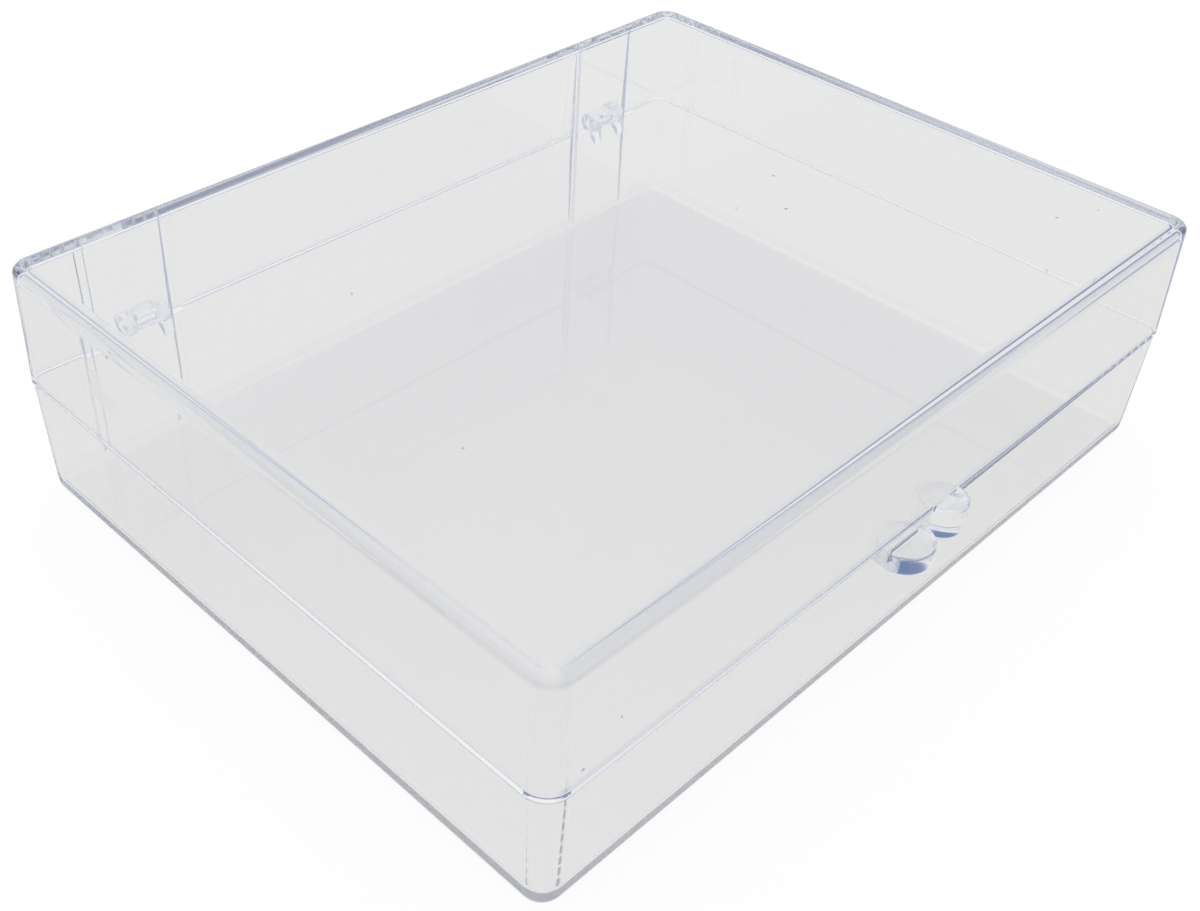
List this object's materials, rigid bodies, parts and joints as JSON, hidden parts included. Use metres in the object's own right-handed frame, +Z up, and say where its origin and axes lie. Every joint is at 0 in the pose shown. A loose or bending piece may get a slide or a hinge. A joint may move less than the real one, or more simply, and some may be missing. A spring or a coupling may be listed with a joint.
{
  "type": "hinged specimen box",
  "caption": "Clear plastic box for a mineral specimen, with a shallow base tray, a hinged lid and a snap latch.",
  "frame": {"origin": "middle of the whole outline, latch and hinges included, on the surface that the box stands on", "axes": "+X along the hinge wall, to the right when facing the latch; +Y from the latch to the hinges; +Z up"},
  "size_m": [0.114, 0.0948, 0.0326],
  "materials": {
    "clear_base": "clear polished polystyrene",
    "clear_lid": "clear polished polystyrene"
  },
  "bodies": {
    "base": {"base_tray": "clear_base"},
    "lid": {"lid": "clear_lid"}
  },
  "joints": [
    {"name": "lid_hinge", "type": "hinge", "parent": "base", "child": "lid", "pos_m": [0, 0.04595, 0.0168], "axis": [-1, 0, 0], "range_deg": [0, 180]}
  ]
}
